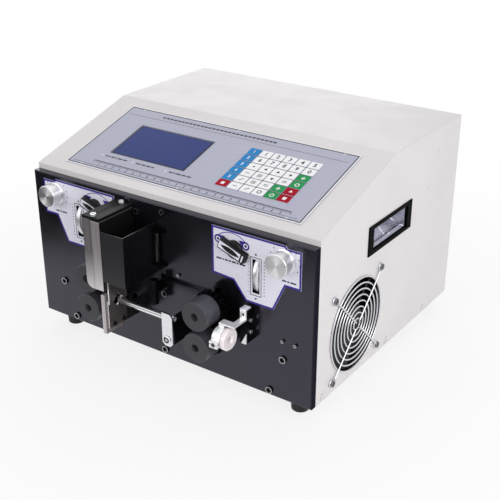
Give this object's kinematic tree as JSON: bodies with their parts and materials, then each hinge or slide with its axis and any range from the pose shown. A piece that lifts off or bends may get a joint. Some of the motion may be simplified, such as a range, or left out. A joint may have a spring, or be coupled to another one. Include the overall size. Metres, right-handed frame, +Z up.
{
  "type": "wire cutting and stripping machine",
  "caption": "Bench-top automatic wire cutting and stripping machine with feed rollers, blade tower, sloped keypad and side fan.",
  "frame": {"origin": "middle of the machine's box, on the surface it stands on", "axes": "+X to the machine's right as seen from the front, +Y from the front plate to the back, +Z up"},
  "size_m": [0.4158, 0.412, 0.271],
  "materials": {
    "case_paint": "fine satin powder coat",
    "plate_black": "satin black",
    "label_print": "printed film",
    "overlay_film": "printed film with embossed keys",
    "display_glass": "clear gloss",
    "circuit_board": "soldermask",
    "fan_black": "moulded",
    "guard_chrome": "bright plated wire",
    "screw_steel": "zinc plated",
    "screw_black": "black oxide",
    "handle_black": "gloss moulded",
    "foot_rubber": "matte",
    "inlet_plastic": "moulded",
    "supply_metal": "pressed sheet",
    "motor_body": "black lamination and cast ends",
    "guide_steel": "machined",
    "roller_rubber": "ground, dark grey",
    "gear_steel": "cut, oiled",
    "spring_steel": "drawn wire",
    "knob_black": "moulded with white line",
    "knob_aluminium": "turned with a spun face",
    "wheel_aluminium": "fine knurl",
    "tower_steel": "ground",
    "blade_steel": "ground, sharp edge",
    "cover_black": "satin black sheet",
    "tube_steel": "polished",
    "block_black": "black anodised",
    "eyelet_ceramic": "glazed"
  },
  "bodies": {
    "machine": {"base_tray": "case_paint", "case_cover": "case_paint", "back_panel": "case_paint", "front_plate": "plate_black", "dial_labels": "label_print", "control_overlay": "overlay_film", "display_window": "display_glass", "display_module": "circuit_board", "fan_frame": "fan_black", "fan_guard": "guard_chrome", "case_screws": "screw_steel", "plate_screws": "screw_black", "handle_left": "handle_black", "handle_right": "handle_black", "feet": "foot_rubber", "power_inlet": "inlet_plastic", "power_supply": "supply_metal", "control_board": "circuit_board", "feed_motors": "motor_body", "shaft_bearings": "screw_steel", "lift_guides": "guide_steel", "wheel_brackets": "guide_steel", "left_spring": "spring_steel", "right_spring": "spring_steel", "cutter_column": "tower_steel", "tower_lid": "cover_black", "cutter_motor": "motor_body", "cutter_bracket": "guide_steel", "cover_hinge": "screw_steel", "guide_block": "block_black", "guide_post": "block_black", "inlet_bracket": "block_black", "inlet_arm": "tube_steel", "inlet_collar": "tube_steel", "inlet_eyelet": "eyelet_ceramic"},
    "fan_impeller": {"fan_rotor": "fan_black"},
    "power_switch": {"power_rocker": "inlet_plastic"},
    "blade_head": {"upper_carrier": "tower_steel", "upper_blade": "blade_steel"},
    "blade_foot": {"lower_carrier": "tower_steel", "lower_blade": "blade_steel"},
    "cutter_screw": {"lead_screw": "gear_steel"},
    "cutter_guard": {"cutter_cover": "cover_black"},
    "wire_guide": {"guide_tube": "tube_steel"},
    "left_drive": {"left_lower_roller": "roller_rubber", "left_lower_shaft": "gear_steel"},
    "left_lift": {"left_lift_block": "guide_steel"},
    "left_presser": {"left_upper_roller": "roller_rubber", "left_upper_shaft": "gear_steel"},
    "left_press_lever": {"left_press_knob": "knob_black"},
    "left_gap_dial": {"left_gap_knob": "knob_aluminium"},
    "left_tension_wheel": {"left_pressure_wheel": "wheel_aluminium"},
    "right_drive": {"right_lower_roller": "roller_rubber", "right_lower_shaft": "gear_steel"},
    "right_lift": {"right_lift_block": "guide_steel"},
    "right_presser": {"right_upper_roller": "roller_rubber", "right_upper_shaft": "gear_steel"},
    "right_press_lever": {"right_press_knob": "knob_black"},
    "right_gap_dial": {"right_gap_knob": "knob_aluminium"},
    "right_tension_wheel": {"right_pressure_wheel": "wheel_aluminium"}
  },
  "joints": [
    {"name": "fan_spin", "type": "hinge", "parent": "machine", "child": "fan_impeller", "pos_m": [0.1889, -0.055, 0.0868], "axis": [1, 0, 0], "continuous": true},
    {"name": "power_rocker_tilt", "type": "hinge", "parent": "machine", "child": "power_switch", "pos_m": [-0.1211, 0.2, 0.0932], "axis": [1, 0, 0], "range_deg": [0, 20]},
    {"name": "left_drive_spin", "type": "hinge", "parent": "machine", "child": "left_drive", "pos_m": [-0.0821, -0.1825, 0.0805], "axis": [0, 1, 0], "continuous": true},
    {"name": "left_lift_slide", "type": "slide", "parent": "machine", "child": "left_lift", "axis": [0, 0, 1], "range_m": [-0.003, 0], "deforming": ["left_spring"]},
    {"name": "left_presser_spin", "type": "hinge", "parent": "left_lift", "child": "left_presser", "pos_m": [-0.0821, -0.1825, 0.1195], "axis": [0, 1, 0], "continuous": true},
    {"name": "left_press_turn", "type": "hinge", "parent": "machine", "child": "left_press_lever", "pos_m": [-0.1041, -0.1535, 0.19], "axis": [0, 1, 0], "range_deg": [0, 90]},
    {"name": "left_gap_turn", "type": "hinge", "parent": "machine", "child": "left_gap_dial", "pos_m": [-0.1686, -0.1585, 0.194], "axis": [0, -1, 0], "range_deg": [-150, 150]},
    {"name": "left_tension_turn", "type": "hinge", "parent": "machine", "child": "left_tension_wheel", "pos_m": [-0.1319, -0.1235, 0.1645], "axis": [1, 0, 0], "range_deg": [-150, 150]},
    {"name": "right_drive_spin", "type": "hinge", "parent": "machine", "child": "right_drive", "pos_m": [0.0799, -0.1825, 0.0805], "axis": [0, 1, 0], "continuous": true},
    {"name": "right_lift_slide", "type": "slide", "parent": "machine", "child": "right_lift", "axis": [0, 0, 1], "range_m": [-0.003, 0], "deforming": ["right_spring"]},
    {"name": "right_presser_spin", "type": "hinge", "parent": "right_lift", "child": "right_presser", "pos_m": [0.0799, -0.1825, 0.1195], "axis": [0, 1, 0], "continuous": true},
    {"name": "right_press_turn", "type": "hinge", "parent": "machine", "child": "right_press_lever", "pos_m": [0.1019, -0.1535, 0.19], "axis": [0, -1, 0], "range_deg": [0, 90]},
    {"name": "right_gap_turn", "type": "hinge", "parent": "machine", "child": "right_gap_dial", "pos_m": [0.1664, -0.1585, 0.194], "axis": [0, -1, 0], "range_deg": [-150, 150]},
    {"name": "right_tension_turn", "type": "hinge", "parent": "machine", "child": "right_tension_wheel", "pos_m": [0.1297, -0.1235, 0.1645], "axis": [1, 0, 0], "range_deg": [-150, 150]},
    {"name": "upper_blade_slide", "type": "slide", "parent": "machine", "child": "blade_head", "axis": [0, 0, -1], "range_m": [0, 0.008]},
    {"name": "lower_blade_slide", "type": "slide", "parent": "machine", "child": "blade_foot", "axis": [0, 0, 1], "range_m": [0, 0.008]},
    {"name": "cutter_screw_turn", "type": "hinge", "parent": "machine", "child": "cutter_screw", "pos_m": [-0.0431, -0.1085, 0.11], "axis": [0, 0, 1], "range_deg": [0, 288]},
    {"name": "cutter_cover_swing", "type": "hinge", "parent": "machine", "child": "cutter_guard", "pos_m": [-0.0065, -0.1525, 0.162], "axis": [0, 0, 1], "range_deg": [0, 95]},
    {"name": "wire_guide_swing", "type": "hinge", "parent": "machine", "child": "wire_guide", "pos_m": [0.0354, -0.1875, 0.074], "axis": [0, 1, 0], "range_deg": [0, 15]}
  ],
  "couplings": [
    {"joint": "left_presser_spin", "follows": "left_drive_spin", "ratio": -1},
    {"joint": "left_press_turn", "follows": "left_lift_slide", "rad_per_m": -523.6},
    {"joint": "right_presser_spin", "follows": "right_drive_spin", "ratio": -1},
    {"joint": "right_press_turn", "follows": "right_lift_slide", "rad_per_m": -523.6},
    {"joint": "lower_blade_slide", "follows": "upper_blade_slide", "ratio": 1},
    {"joint": "cutter_screw_turn", "follows": "upper_blade_slide", "rad_per_m": 628.32}
  ]
}
